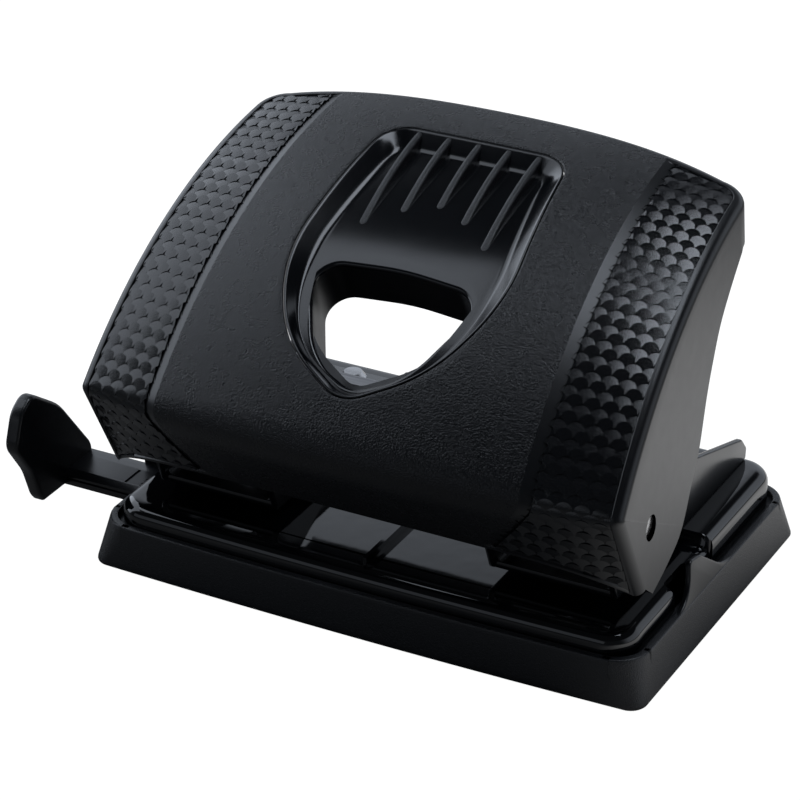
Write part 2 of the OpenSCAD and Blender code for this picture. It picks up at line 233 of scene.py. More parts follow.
def both_sides(half):
    """A half outline and its reflection, for rounded()."""
    return half + [[-x, y, r] for x, y, r in reversed(half) if x > 0]


def rectangle(x0, y0, x1, y1, radius):
    return [[x0, y0, radius], [x1, y0, radius], [x1, y1, radius], [x0, y1, radius]]


def inset(outline, distance):
    """The outline moved inward by distance along its own normals."""
    after = np.roll(outline, -1, 0)
    along = after - np.roll(outline, 1, 0)
    area = np.sum(outline[:, 0] * after[:, 1] - after[:, 0] * outline[:, 1])
    inward = np.stack([-along[:, 1], along[:, 0]], 1) * np.sign(area)
    return outline + distance * inward / np.linalg.norm(inward, axis=1)[:, None]


def along_x(a, b, t):
    return np.array([t, a, b])


def along_y(a, b, t):
    return np.array([a, t, b])


def along_z(a, b, t):
    return np.array([a, b, t])


def stacked(lines, levels, place):
    """Closed solid through outlines at the given levels. place(a, b, level) gives points in space."""
    shape = Shape()
    rows = [[place(a, b, t) for a, b in line] for line, t in zip(lines, levels)]
    shape.grid(rows, close=True)
    shape.cap(rows[0][::-1])
    shape.cap(rows[-1])
    return shape


def slab(outline, low, high, place, edge, steps):
    """A plate of that outline from low to high, with rounded edges."""
    angles = np.linspace(0, QUARTER, steps + 1)
    distances = [edge * (1 - math.sin(a)) for a in angles] + [edge * (1 - math.cos(a)) for a in angles]
    levels = [low + edge * (1 - math.cos(a)) for a in angles]
    levels += [high - edge * (1 - math.sin(a)) for a in angles]
    return stacked([inset(outline, d) for d in distances], levels, place)


def prism(outline, low, high, place):
    """A sharp-edged prism, for cutting."""
    return stacked([outline, outline], [low, high], place)


def block(low, high):
    """A sharp-edged box, for cutting."""
    outline = [[low[0], low[1]], [high[0], low[1]], [high[0], high[1]], [low[0], high[1]]]
    return prism(outline, low[2], high[2], along_z)


def disc(x, y, radius, steps=40):
    turns = np.linspace(0, 2 * math.pi, steps, endpoint=False)
    return np.stack([x + radius * np.cos(turns), y + radius * np.sin(turns)], 1)


# ---------- shader nodes ----------


def joined(tree, kind, inputs, **settings):
    """A shader node with those settings, its inputs set to values or joined to sockets."""
    node = tree.nodes.new(kind)
    for name, value in settings.items():
        setattr(node, name, value)
    for name, value in inputs.items():
        if isinstance(value, bpy.types.NodeSocket):
            tree.links.new(value, node.inputs[name])
        else:
            node.inputs[name].default_value = value
    return node


def place_in(tree, kind):
    """Coordinates of that kind."""
    return tree.nodes.new("ShaderNodeTexCoord").outputs[kind]


def ranged(tree, value, start, end, low, high, kind="SMOOTHSTEP"):
    """From low to high as value goes from start to end."""
    inputs = {"Value": value, "From Min": start, "From Max": end, "To Min": low, "To Max": high}
    return joined(tree, "ShaderNodeMapRange", inputs, interpolation_type=kind).outputs["Result"]


def product(tree, first, second):
    return joined(tree, "ShaderNodeMath", {0: first, 1: second}, operation="MULTIPLY").outputs["Value"]


def blend(tree, factor, first, second):
    """Colour from first to second."""
    inputs = {"Factor": factor, "A": first, "B": second}
    return joined(tree, "ShaderNodeMix", inputs, data_type="RGBA").outputs["Result"]


def noise(tree, size, detail, stretch=None):
    """Noise with features of about size millimetres, drawn out along an axis where stretch is small."""
    where = place_in(tree, "Object")
    if stretch:
        where = joined(tree, "ShaderNodeMapping", {"Vector": where, "Scale": stretch}).outputs["Vector"]
    inputs = {"Vector": where, "Scale": 1 / (size * MM), "Detail": detail}
    return joined(tree, "ShaderNodeTexNoise", inputs).outputs["Fac"]


def spread(tree, value, low, high):
    """Noise stretched over low to high."""
    return ranged(tree, value, 0.3, 0.7, low, high, "LINEAR")


def bumped(tree, height, size, detail, normal):
    """Normal roughened by noise of that height and size in millimetres."""
    inputs = {"Strength": 1, "Distance": height * MM, "Height": noise(tree, size, detail)}
    if normal:
        inputs["Normal"] = normal
    return joined(tree, "ShaderNodeBump", inputs).outputs["Normal"]


# ---------- materials ----------

TINT_PATCH = 14
TINT_CHANGE = 0.12
ROUGH_CHANGE = 0.04
GLINT = (0.88, 0.94, 1.1)


def tint_and_painted_glints(tree, base, painted_glint, grain_size):
    """The base colour in faint wide patches, with painted glints: light-coloured flecks, about the grain's
    size, that stand in for light caught on the grain.
    """
    dark = (*[c * (1 - TINT_CHANGE) for c in base], 1)
    light = (*[c * (1 + TINT_CHANGE) for c in base], 1)
    colour = blend(tree, noise(tree, TINT_PATCH, 3), dark, light)
    # painted glints: flecks of the light's colour mixed into the base colour stand in for light caught on
    # the grain
    if painted_glint:
        glint_mask = spread(tree, noise(tree, grain_size * 1.3, 1), -0.4, 1.2)
        colour = blend(tree, glint_mask, colour, (*[painted_glint * c for c in GLINT], 1))
    return colour


def uneven_roughness(tree, rough, streaks):
    """Roughness in soft spots, or in streaks along X."""
    pattern = noise(tree, 1.2, 3, (0.06, 1, 1)) if streaks else noise(tree, 3, 4)
    change = ROUGH_CHANGE + streaks
    return spread(tree, pattern, rough * (1 - change), rough * (1 + change))


def material(name, base, rough, grain=0.0, grain_size=0.3, soft=0.0, soft_size=6.0, painted_glint=0.0,
             streaks=0.0, metal=0.0, coat=0.0, specular=0.5):
    """A moulded, painted or metal surface. grain and soft are the heights of fine and wide bumps, and the
    glint amount is the strength of painted glints in the base colour.
    """
    made = bpy.data.materials.new(name)
    made.use_nodes = True
    tree = made.node_tree
    shader = tree.nodes["Principled BSDF"]
    shader.inputs["Metallic"].default_value = metal
    shader.inputs["Coat Weight"].default_value = coat
    shader.inputs["Coat Roughness"].default_value = 0.05
    shader.inputs["Specular IOR Level"].default_value = specular
    tree.links.new(tint_and_painted_glints(tree, base, painted_glint, grain_size), shader.inputs["Base Color"])
    tree.links.new(uneven_roughness(tree, rough, streaks), shader.inputs["Roughness"])
    normal = None
    if soft:
        normal = bumped(tree, soft, soft_size, 1, normal)
    if grain:
        normal = bumped(tree, grain, grain_size, 2, normal)
    tree.links.new(normal, shader.inputs["Normal"])
    return made


BLACK = (0.0026, 0.0031, 0.0042)
TRAY_BLACK = (0.010, 0.011, 0.013)
ENAMEL = (0.002, 0.0024, 0.0032)
SHADE = (0.005, 0.005, 0.006)

# Glint amounts below paint highlights into the base colour as light-coloured flecks.
grained = material("grained_black", BLACK, 0.27, grain=0.20, grain_size=0.40, painted_glint=0.006, specular=0.40)
satin = material("satin_black", BLACK, 0.32, grain=0.004, soft=0.02)
scale_skin = material("scale_black", BLACK, 0.20, grain=0.03, grain_size=0.24, painted_glint=0.006, specular=0.6)
gloss = material("gloss_black", BLACK, 0.15, grain=0.004, soft=0.01)
rib_skin = material("rib_black", BLACK, 0.36, grain=0.10, grain_size=0.26, painted_glint=0.016)
tray_skin = material("tray_black", TRAY_BLACK, 0.34, grain=0.10, grain_size=0.28, painted_glint=0.014)
tab_skin = material("tab_black", BLACK, 0.30, grain=0.006)
guide_skin = material("guide_black", BLACK, 0.30, grain=0.02, grain_size=0.28)
enamel = material("gloss_enamel", ENAMEL, 0.06, soft=0.012, soft_size=5, coat=0.3)
satin_enamel = material("satin_enamel", BLACK, 0.20, grain=0.006, grain_size=0.35)
ground_steel = material("ground_steel", (0.52, 0.52, 0.53), 0.24, metal=1, streaks=0.3, grain=0.002)
dark_steel = material("oiled_steel", (0.30, 0.30, 0.31), 0.30, metal=1, streaks=0.2, grain=0.002)
lever_steel = material("pressed_steel", (0.20, 0.20, 0.21), 0.34, metal=1, streaks=0.3, grain=0.004)
inner_skin = material("inner_black", SHADE, 0.45, grain=0.01)

# ---------- the handle's surface ----------
# u runs across it, from 0 in the middle to 1 at the side. s is the distance up its main arc, and q the
# distance from the fold: above 0 up the face, below 0 down the skirt.

HALF_LOW, HALF_TOP = 64.7, 59.4
FACE_R = 112.0
CROWN_LOW, CROWN_TOP = 8.3, 5.0
CENTRE_Y, CENTRE_Z = 38.8, -20.3
FOLD_A, TOP_A, TOP_BOW = 142.4, 97.4, 3.0
FOLD_DROP = np.array([-2.4, -3.1])
DROP = np.linalg.norm(FOLD_DROP)
ARC = math.radians(FOLD_A - TOP_A) * FACE_R


def ahead(u):
    """How far the fold's middle runs on past the face's arc."""
    return DROP * (1 - u * u)


def half_width(s):
    """Half width of the handle at distance s."""
    return HALF_LOW - (HALF_LOW - HALF_TOP) * np.clip(s, 0, None) / ARC


def top_q(u):
    """The face's upper end, bowed in the middle."""
    return ARC + (math.radians(TOP_BOW) * FACE_R + DROP) * (1 - u * u)


def hem_yz(u):
    """The skirt's lower edge, which drops only near the sides."""
    g = 1 - np.abs(u) ** 8
    return np.stack([-35.4 - 12.8 * g, 22.5 + 11 * g], -1)


def arc_yz(u, s):
    """The crowned face, with its fold line below s = 0."""
    up = np.maximum(s, 0)
    a = math.radians(FOLD_A) - up / FACE_R
    share = up / ARC
    crown = (CROWN_LOW + (CROWN_TOP - CROWN_LOW) * share) * (1 - np.abs(u) ** (2 + 1.2 * share))
    r = FACE_R + crown
    on_arc = np.stack([CENTRE_Y + r * np.cos(a), CENTRE_Z + r * np.sin(a)], -1)
    return on_arc + FOLD_DROP / DROP * np.maximum(-s, 0)[..., None]


def skirt_length(u):
    return np.linalg.norm(arc_yz(u, -ahead(u)) - hem_yz(u), axis=-1)


def sharp_yz(u, q):
    """The face and skirt with a sharp fold between them."""
    fold = arc_yz(u, -ahead(u))
    down = fold + (hem_yz(u) - fold) * (-q / skirt_length(u))[..., None]
    return np.where((q >= 0)[..., None], arc_yz(u, q - ahead(u)), down)


def fold_reach(u):
    """Half length of the rounded fold, crisp at the sides and soft in the middle."""
    return 1.3 + 5.5 * (1 - np.abs(u) ** 2.5)


def profile_yz(u, q):
    """The face and skirt with the fold rounded."""
    reach = fold_reach(u)
    t = np.clip((q + reach) / (2 * reach), 0, 1)[..., None]
    low, corner, high = sharp_yz(u, -reach), sharp_yz(u, np.zeros_like(q)), sharp_yz(u, reach)
    soft = (1 - t) ** 2 * low + 2 * t * (1 - t) * corner + t ** 2 * high
    return np.where((np.abs(q) < reach)[..., None], soft, sharp_yz(u, q))


def face_point(u, q, height=0.0):
    """Point and outward normal on the handle, raised by height."""
    u, q = np.broadcast_arrays(np.asarray(u, float), np.asarray(q, float))
    step = 0.2
    along = profile_yz(u, q + step) - profile_yz(u, q - step)
    along /= np.linalg.norm(along, axis=-1)[..., None]
    normal = np.stack([np.zeros_like(q), -along[..., 1], along[..., 0]], -1)
    x = u * half_width(q - ahead(u))
    base = np.concatenate([x[..., None], profile_yz(u, q)], -1)
    return base + normal * np.asarray(height)[..., None], normal


def face_line(line, depth):
    """Points sunk by depth under a line of places given as x and s."""
    u = line[..., 0] / half_width(line[..., 1])
    q = line[..., 1] + ahead(u)
    return face_point(u, q, np.broadcast_to(-depth, u.shape))


# Stripe, bed of the scales and the border round them, in u and in depth
STRIPE_IN, STRIPE_OUT = 0.670, 0.708
STRIPE_W = STRIPE_OUT - STRIPE_IN
STRIPE_DROP, SCALE_BED = 0.6, 0.85
CORE_U, EDGE_U = 0.895, 0.9726
EDGE_Q = 4.6
BORDER = 0.87
TOP_ROUND = 1.7
SKIRT_TURN, TURN_SOFT = 0.17, 0.15
HEM_BORDER = 0.8


def panel_edge(q, u):
    """Inner edge of the stripe: it turns inward below the fold."""
    t = np.clip(-q / skirt_length(u), 0, 1)
    bend = (np.sqrt(t * t + TURN_SOFT ** 2) - TURN_SOFT) / (math.sqrt(1 + TURN_SOFT ** 2) - TURN_SOFT)
    return STRIPE_IN - SKIRT_TURN * bend


def relief(u, q, out):
    """Height of the bare moulding: raised middle panel, stripe, and bed for the scales."""
    t = (np.abs(u) - panel_edge(q, u)) / STRIPE_W
    stripe = STRIPE_DROP * np.clip(t, 0, 1)
    bed = (SCALE_BED - STRIPE_DROP) * smooth((t - 1.02) / 0.12)
    border = 1 - smooth((out - BORDER + 0.02) / 0.045)
    hem = smooth((q + skirt_length(u) - HEM_BORDER) / 0.35)
    return -(stripe + bed) * border * hem


def warp(v, q):
    """Column v follows the stripe where it turns inward on the skirt."""
    knee = (STRIPE_IN + STRIPE_OUT) / 2
    moved = knee - (STRIPE_IN - panel_edge(q, v))
    inner = v * moved / knee
    outer = moved + (v - knee) / (CORE_U - knee) * (CORE_U - moved)
    return np.where(v <= knee, inner, outer)


# Grip recess and finger window: half outlines as x, s, corner radius
SHIELD = rounded(both_sides([[0, 8.2, 10], [17.4, 18.2, 30], [26.9, 37, 36], [22.4, 80, 8]]), 24, 0.5)
WINDOW = rounded(both_sides([[0, 12.6, 7], [11, 17.6, 18], [21.2, 39, 5.5], [0, 40.8, 60]]), 24, 0.5)
SHIELD_MIDDLE = np.array([0, 45.0])
WINDOW_MIDDLE = np.array([0, 28.5])


def ring_points(outline, middle, angles):
    """Points of the outline at those angles round middle."""
    offset = outline - middle
    around = np.arctan2(offset[:, 1], offset[:, 0])
    order = np.argsort(around)
    reach = np.linalg.norm(offset, axis=1)[order]
    here = np.interp(angles, around[order], reach, period=2 * math.pi)
    return middle + np.stack([np.cos(angles), np.sin(angles)], 1) * here[:, None]


def ends_on_middle(line):
    """Puts the first and last point on the plane x = 0."""
    line[..., 0, 0] = line[..., -1, 0] = 0
    return line


# ---------- handle shell ----------

WALL = 2.2
RIM_ROUND = 2.3
RETURN_DEPTH = 5.7
SIDE_TILT = 14.0
# Back edge of the cheeks as y, z
BACK_EDGE = [[-32.0, 22.6], [-22.8, 25.3], [-15, 29.2], [-8.5, 38.2], [-4.7, 43.5],
             [-0.4, 53.9], [3.2, 60.7], [7.5, 67.3], [13.5, 73.1], [21, 79.2]]
GRAIN, INNER, SATIN = 0, 1, 2
# Distance below the fold at which the paint's edge has turned fully inward
PAINTED_SKIRT = 30 / 1.1


def smooth_line(points, count):
    """A curve through the points, evenly divided."""
    keys = np.array(points, float)
    ends = np.vstack([2 * keys[0] - keys[1], keys, 2 * keys[-1] - keys[-2]])
    fine = []
    for i in range(1, len(ends) - 2):
        a, b, c, d = ends[i - 1:i + 3]
        for t in np.linspace(0, 1, 16, endpoint=False):
            square = (2 * a - 5 * b + 4 * c - d) * t * t
            cube = (3 * b - a - 3 * c + d) * t ** 3
            fine.append(0.5 * (2 * b + (c - a) * t + square + cube))
    fine = np.array(fine + [keys[-1]])
    length = run_of(fine)
    even = np.linspace(0, length[-1], count)
    return np.stack([np.interp(even, length, fine[:, k]) for k in (0, 1)], 1)


def run_of(points):
    """Distance run along a line, at each of its points."""
    return np.concatenate([[0], np.cumsum(np.linalg.norm(np.diff(points, axis=0), axis=1))])


def shell_columns():
    """Columns u from the middle to the scales' outer part, close together at the stripe's edges."""
    panel = np.linspace(0, STRIPE_IN - 0.004, 43)
    inner_edge = STRIPE_IN + np.array([-0.001, 0.001, 0.004])
    outer_edge = STRIPE_OUT + np.array([-0.004, -0.001, 0.002, 0.006, 0.012])
    stripe_middle = [(STRIPE_IN + STRIPE_OUT) / 2]
    return np.concatenate([panel, inner_edge, stripe_middle, outer_edge, np.linspace(0.75, CORE_U, 8)])


def shell_rows(u):
    """Distances q from the hem to the last core row, at column u."""
    length, reach = skirt_length(u), fold_reach(u)
    hem = np.array([0, 0.35, 0.8, 1.0, 1.2])
    skirt = np.linspace(hem[-1] - length, -reach, 14)[1:]
    fold = np.linspace(-reach, reach, 13)[1:]
    face = np.linspace(reach, top_q(u) - TOP_ROUND - EDGE_Q, 84)[1:]
    return np.concatenate([hem - length, skirt, fold, face])


class Sheet:
    """Outer points and the matching inner points of a moulded wall."""

    def __init__(self):
        self.outer = Shape()
        self.inner = Shape()

    def add(self, outer, base, normal):
        """Rows of the outer skin, and the wall's inner skin under their base points."""
        self.outer.grid(outer, GRAIN)
        self.inner.grid(base - normal * WALL, INNER)

    def patch(self, u, q, out=0.0):
        """A part of the face with its relief. out is the share of the way across the outer border."""
        base, normal = face_point(u, q)
        self.add(base + normal * relief(u, q, out)[..., None], base, normal)

    def open_edges(self):
        """Edges that only one outer face uses."""
        cells = np.round(np.asarray(self.outer.points) / WELD).astype(np.int64)
        same = np.unique(cells, axis=0, return_inverse=True)[1].reshape(-1)
        used = {}
        for face in self.outer.faces:
            for a, b in zip(face, face[1:] + face[:1]):
                key = frozenset((same[a], same[b]))
                if len(key) == 2:
                    used.setdefault(key, []).append((a, b))
        return [edges[0] for edges in used.values() if len(edges) == 1]

    def closed(self):
        """Both skins and the rim between them, open only on the plane x = 0."""
        shape = Shape()
        shape.add(self.outer)
        count = len(self.outer.points)
        shape.points.extend(self.inner.points)
        shape.faces.extend([[count + i for i in face[::-1]] for face in self.inner.faces])
        shape.paint.extend(self.inner.paint)
        for a, b in self.open_edges():
            if max(abs(shape.points[a][0]), abs(shape.points[b][0])) > 0.01:
                shape.faces.append([b, a, count + a, count + b])
                shape.paint.append(SATIN)
        return shape


def add_recess_ring(sheet, u, q, low, side):
    """Faces between the grid's row low and column side and the recess's outline, and its rounded lip."""
    last = len(u) - 1
    loop_u = np.concatenate([u[low, :side], u[low:last, side], u[last, side::-1]])
    loop_q = np.concatenate([q[low, :side], q[low:last, side], q[last, side::-1]])
    s = loop_q - ahead(loop_u)
    outer = np.stack([loop_u * half_width(s), s], 1)
    angles = np.arctan2(outer[:, 1] - SHIELD_MIDDLE[1], outer[:, 0])
    inner = ring_points(SHIELD, SHIELD_MIDDLE, angles)
    even = np.linspace(0, 1, 9)
    shares = smooth(even) * 0.4 + even * 0.6
    ring = ends_on_middle(np.array([outer + (inner - outer) * t for t in shares]))
    base, normal = face_line(ring, np.zeros(len(angles)))
    sheet.add(base, base, normal)
    lips = []
    for distance, depth in ((0, 0), (0.08, 0.03), (0.2, 0.14), (0.28, 0.34)):
        line = ends_on_middle(ring_points(inset(SHIELD, distance), SHIELD_MIDDLE, angles))
        lips.append(face_line(line, np.float64(depth)))
    sheet.add(np.array([points for points, _ in lips]), np.array([lips[0][0]] * len(lips)), lips[0][1])


def add_border(sheet, columns, side_q, top_row):
    """Bands at the side, corner and top outside the core grid. Returns their last line's u, q and turn."""
    steps = np.array([[0, 0.35, 0.7, 0.84, 0.862, 0.885, 0.92, 1.0]])
    across = (EDGE_U - CORE_U) * steps
    side_u = np.broadcast_to(CORE_U + across, (len(side_q), steps.size))
    stretch = np.where(side_q[:, None] < 0, skirt_length(side_u) / skirt_length(np.float64(CORE_U)), 1)
    side = side_u, side_q[:, None] * stretch
    corner_turn = np.linspace(0, QUARTER, 11)
    corner = (CORE_U + across * np.cos(corner_turn)[:, None],
              side_q[-1] + EDGE_Q * steps * np.sin(corner_turn)[:, None])
    top_u = np.broadcast_to(columns[::-1][:, None], (len(columns), steps.size))
    top = top_u, top_row[::-1][:, None] + EDGE_Q * steps
    for u, q in (side, corner, top):
        sheet.patch(u, q, np.broadcast_to(steps, u.shape))
    rim_u, rim_q = [np.concatenate([side[k][:, -1], corner[k][1:, -1], top[k][1:, -1]]) for k in (0, 1)]
    turn = np.concatenate([0 * side_q, corner_turn[1:], np.full(len(columns) - 1, QUARTER)])
    return rim_u, rim_q, turn


def cheek_back(edge):
    """Points of the cheek's back edge, spaced like its front edge."""
    back = smooth_line(BACK_EDGE, len(edge))
    length = run_of(edge[:, 1:])
    share, even = length / length[-1], np.linspace(0, 1, len(edge))
    y, z = np.interp(share, even, back[:, 0]), np.interp(share, even, back[:, 1])
    # the cheeks lean in as the face narrows: distance up its slope from the side's lower corner
    up = (y + 49.9) * 0.845 + (z - 48) * 0.534
    return np.stack([HALF_LOW - (HALF_LOW - HALF_TOP) / ARC * up, y, z], 1)


def add_walls(sheet, rim_u, rim_q, turn, sides):
    """Rounded rim and the walls behind it, from the hem over the corner to the middle of the top."""
    base, normal = face_point(rim_u, rim_q)
    up = np.stack([0 * turn, normal[:, 2], -normal[:, 1]], 1)
    out = np.cos(turn)[:, None] * np.array([1.0, 0, 0]) + np.sin(turn)[:, None] * up
    tilt = np.radians(SIDE_TILT) * np.cos(turn)
    sweep = np.linspace(0, 1, 9)[:, None] * (QUARTER - tilt) + tilt
    across = (np.sin(sweep) - np.sin(tilt))[..., None] * out
    down = (np.cos(tilt) - np.cos(sweep))[..., None] * normal
    rim = base + RIM_ROUND * (across - down)
    sheet.add(rim, rim, np.sin(sweep)[..., None] * out + np.cos(sweep)[..., None] * normal)
    front = rim[-1]
    back = np.zeros_like(front)
    back[:sides] = cheek_back(front[:sides])
    depth = np.linalg.norm(back[sides - 1] - front[sides - 1])
    share = smooth(np.linspace(0, 1, len(front) - sides + 1) / 0.25)
    depths = depth + (RETURN_DEPTH - depth) * share
    back[sides - 1:] = front[sides - 1:] - normal[sides - 1:] * depths[:, None]
    walls = np.array([front + (back - front) * t for t in np.linspace(0, 1, 11)])
    sheet.add(walls, walls, np.broadcast_to(out, walls.shape))


def handle_shell():
    """The moulded handle: grid of the face and skirt, ring round the recess, border, rim and walls."""
    sheet = Sheet()
    columns = shell_columns()
    rows = np.array([shell_rows(np.float64(v)) for v in columns]).T
    v = np.broadcast_to(columns, rows.shape)
    u = warp(v, rows)
    # on the skirt each row is stretched to the warped column's length, so that it still ends at the hem
    q = np.where(rows < 0, rows * skirt_length(u) / skirt_length(v), rows)
    ring_low = int(np.argmin(np.abs(q[:, 0] - ahead(0.0) - 4)))
    ring_side = int(np.argmin(np.abs(columns - 0.5)))
    sheet.patch(u[:ring_low + 1], q[:ring_low + 1])
    sheet.patch(u[ring_low:, ring_side:], q[ring_low:, ring_side:])
    add_recess_ring(sheet, u, q, ring_low, ring_side)
    rim_u, rim_q, turn = add_border(sheet, columns, q[:, -1], q[-1])
    add_walls(sheet, rim_u, rim_q, turn, len(q))
    low, high = box_mm("hinge_pin_right")
    pin, hole_r = (low + high) / 2, (high - low)[1] / 2 + 0.12
    cutter = prism(disc(pin[1], pin[2], hole_r), -90, 90, along_x)
    obj = piece("handle_cover", sheet.closed().mirrored(), [grained, inner_skin, satin], "handle",
                ["handle_shell"], sharp=28, cutter=cutter)
    paint_sides(obj.data)


def paint_sides(mesh):
    """Satin stripes and sides beside the grained middle panel."""
    count = len(mesh.polygons)
    centres = np.zeros(count * 3)
    mesh.polygons.foreach_get("center", centres)
    x, y, z = centres.reshape(-1, 3).T / MM
    paint = np.zeros(count, np.int32)
    mesh.polygons.foreach_get("material_index", paint)
    s = (math.radians(FOLD_A) - np.arctan2(z - CENTRE_Z, y - CENTRE_Y)) * FACE_R
    edge = STRIPE_IN - SKIRT_TURN * np.clip(-s / PAINTED_SKIRT, 0, 1)
    outside = np.abs(x) / half_width(s) > edge
    paint[(paint == GRAIN) & outside] = SATIN
    mesh.polygons.foreach_set("material_index", paint)


# ---------- scales ----------

SCALE_PITCH = 3.76
SCALE_ROW = 1.85
SCALE_R = SCALE_PITCH / 2
SCALE_LEAN = math.tan(math.radians(6.5))
SCALE_LEVEL, SCALE_DOME = -0.32, 0.05
FIRST_ROW_Q = 0.9
SCALE_BORDER = BORDER - 0.015
SCALE_HEM = 1.15
# The scales end this far outside the stripe, in u
STRIPE_GAP = 0.004


def scale_zone():
    """One side's scales: alternate rows lean up and down, each with a round upper edge."""
    shape = Shape()
    low_x, high_x = 0.50 * HALF_LOW, (EDGE_U - 0.0105) * HALF_LOW
    for row in range(-15, 52):
        odd = row % 2
        for column in range(8, 18):
            x = column * SCALE_PITCH + SCALE_R * odd
            left, right = max(-SCALE_R, low_x - x), min(SCALE_R, high_x - x)
            if right - left > 0.15:
                q = row * SCALE_ROW + FIRST_ROW_Q
                add_scale(shape, x, q, left, right, -SCALE_LEAN if odd else SCALE_LEAN)
    return shape


def zone_top(u):
    """Upper end of the scales, with a rounded outer corner."""
    straight = top_q(np.minimum(u, CORE_U)) - TOP_ROUND - EDGE_Q
    across = np.clip((u - CORE_U) / ((EDGE_U - CORE_U) * SCALE_BORDER), 0, 1)
    return straight + EDGE_Q * SCALE_BORDER * np.sqrt(np.clip(1 - across ** 2, 0, 1))


def zone_line(u):
    """Height at which the stripe crosses column u on the skirt. Beside the stripe there's no limit."""
    no_limit = 999.0
    q = -np.linspace(0, 1, 60)[:, None] * skirt_length(u)
    inside = panel_edge(q, np.broadcast_to(u, q.shape)) + STRIPE_W + STRIPE_GAP < u
    crossing = q[np.argmax(inside, axis=0), np.arange(len(u))]
    on_skirt = np.where(inside.any(0), crossing, -no_limit)
    return np.where(u > STRIPE_OUT + STRIPE_GAP, no_limit, on_skirt)


def add_scale(shape, centre_x, centre_q, left, right, lean):
    """One scale, between its own round edge and the two below it, clipped to the zone."""
    first, last = math.asin(max(left / SCALE_R, -1)), math.asin(min(right / SCALE_R, 1))
    dx = SCALE_R * np.sin(np.linspace(first, last, 15))
    u = (centre_x + dx) / HALF_LOW
    own_edge = centre_q + np.sqrt(np.clip(SCALE_R ** 2 - dx ** 2, 0, None))
    edge_below = centre_q - SCALE_ROW + np.sqrt(np.clip(SCALE_R ** 2 - (SCALE_R - np.abs(dx)) ** 2, 0, None))
    upper = np.minimum(np.minimum(own_edge, zone_top(u)), zone_line(u))
    lower = np.maximum(edge_below, SCALE_HEM - skirt_length(u))
    if (upper - lower).max() < 0.12:
        return
    upper = np.maximum(upper, lower)
    q = lower + (upper - lower) * np.linspace(0, 1, 9)[:, None]
    from_middle = q - centre_q - (SCALE_R - SCALE_ROW) / 2
    height = SCALE_LEVEL + lean * from_middle + SCALE_DOME * (1 - (dx / SCALE_R) ** 2)
    top = face_point(u, q, height)[0]
    foot = face_point(u, q, np.full(q.shape, -SCALE_BED - 0.05))[0]
    shape.grid(top)
    shape.grid([top[0], foot[0]], flip=True)
    shape.grid([top[-1], foot[-1]])
    shape.grid([top[:, 0], foot[:, 0]])
    shape.grid([top[:, -1], foot[:, -1]], flip=True)


def scales():
    right = scale_zone()
    for name, shape in (("scales_right", right), ("scales_left", right.reflected())):
        piece(name, shape, [scale_skin], "handle", sharp=30, weld=FINE_WELD)


# ---------- grip insert ----------

FLOOR = 3.0
INSERT_T = 1.6
COLLAR = 11.0
SLOT_ANGLE = math.radians(119.4)
SLOT_DIRECTION = np.array([0, math.cos(SLOT_ANGLE), math.sin(SLOT_ANGLE)])
HALF_TURN = np.linspace(-QUARTER, QUARTER, 181)
# The sloping band starts this far inside the outline and this deep. Its soft foot runs on to BAND_END.
BAND_START, BAND_TOP = 0.95, 0.22
BAND_NARROW, BAND_WIDE = 2.0, 4.7
BAND_END = 1.25
WINDOW_ROUND = 1.0


def shield_line(distance):
    return ends_on_middle(ring_points(inset(SHIELD, distance), SHIELD_MIDDLE, HALF_TURN))


def window_line(distance):
    return ends_on_middle(ring_points(inset(WINDOW, distance), WINDOW_MIDDLE, HALF_TURN))


def sunk(line, depth):
    """Points sunk by depth under a line of places given as x and s."""
    return face_line(ends_on_middle(line), np.float64(depth))[0]


def band_depth(t):
    """Share of the recess's depth at share t of its sloping band."""
    if t < 0.75:
        return t * 0.98
    return 0.735 + 0.265 * (1 - (1 - (t - 0.75) / 0.5) ** 2)


def recess_rows():
    """Lines from the insert's outer rim over the band and floor to the window's rounded rim."""
    rim = ((0.42, INSERT_T), (0.42, 0.4), (0.47, 0.24), (0.6, 0.14), (0.78, 0.14), (BAND_START, BAND_TOP))
    rows = [sunk(shield_line(distance), depth) for distance, depth in rim]
    # the band is narrow at the bottom and wide at the sides and top
    lift = (np.sin(HALF_TURN) + 1) / 2
    width = BAND_NARROW + (BAND_WIDE - BAND_NARROW) * smooth(lift / 0.45)
    start, wide = shield_line(BAND_START), shield_line(BAND_WIDE)
    band = (wide - start) * ((width - BAND_START) / (BAND_WIDE - BAND_START))[:, None]
    for t in np.linspace(0, BAND_END, 15)[1:]:
        rows.append(sunk(start + band * t, BAND_TOP + (FLOOR - BAND_TOP) * band_depth(t)))
    floor_start, floor_end = start + band * BAND_END, window_line(-WINDOW_ROUND)
    for t in np.linspace(0, 1, 12)[1:]:
        rows.append(sunk(floor_start + (floor_end - floor_start) * t, FLOOR))
    for turn in np.linspace(0, QUARTER, 6)[1:]:
        line = window_line(-WINDOW_ROUND * (1 - math.sin(turn)))
        rows.append(sunk(line, FLOOR + WINDOW_ROUND * (1 - math.cos(turn))))
    return rows


def grip_insert():
    """The recess, with the collar that runs down from its window, and its back."""
    front = recess_rows()
    mouth = front[-1]
    back = [mouth - SLOT_DIRECTION * COLLAR * t for t in np.linspace(0, 1, 7)]
    outer_mouth = sunk(window_line(-INSERT_T), FLOOR + INSERT_T)
    back += [outer_mouth - SLOT_DIRECTION * (COLLAR - 0.4), outer_mouth]
    back += [sunk(shield_line(BAND_WIDE), FLOOR + INSERT_T), front[0]]
    shape = Shape()
    shape.grid(front, flip=True)
    shape.grid(back, 1, flip=True)
    piece("grip_recess", shape.mirrored(), [gloss, inner_skin], "handle", ["grip_insert"],
          sharp=50)


RIB_PITCH, RIB_HALF = 7.3, 0.85
RIB_TOP = 79.3
# Lower ends of the middle rib, the next two and the outer two
RIB_LOW = (59.0, 56.0, 50.5)
RIB_LIFT, RIB_ROOT = 0.4, 0.3


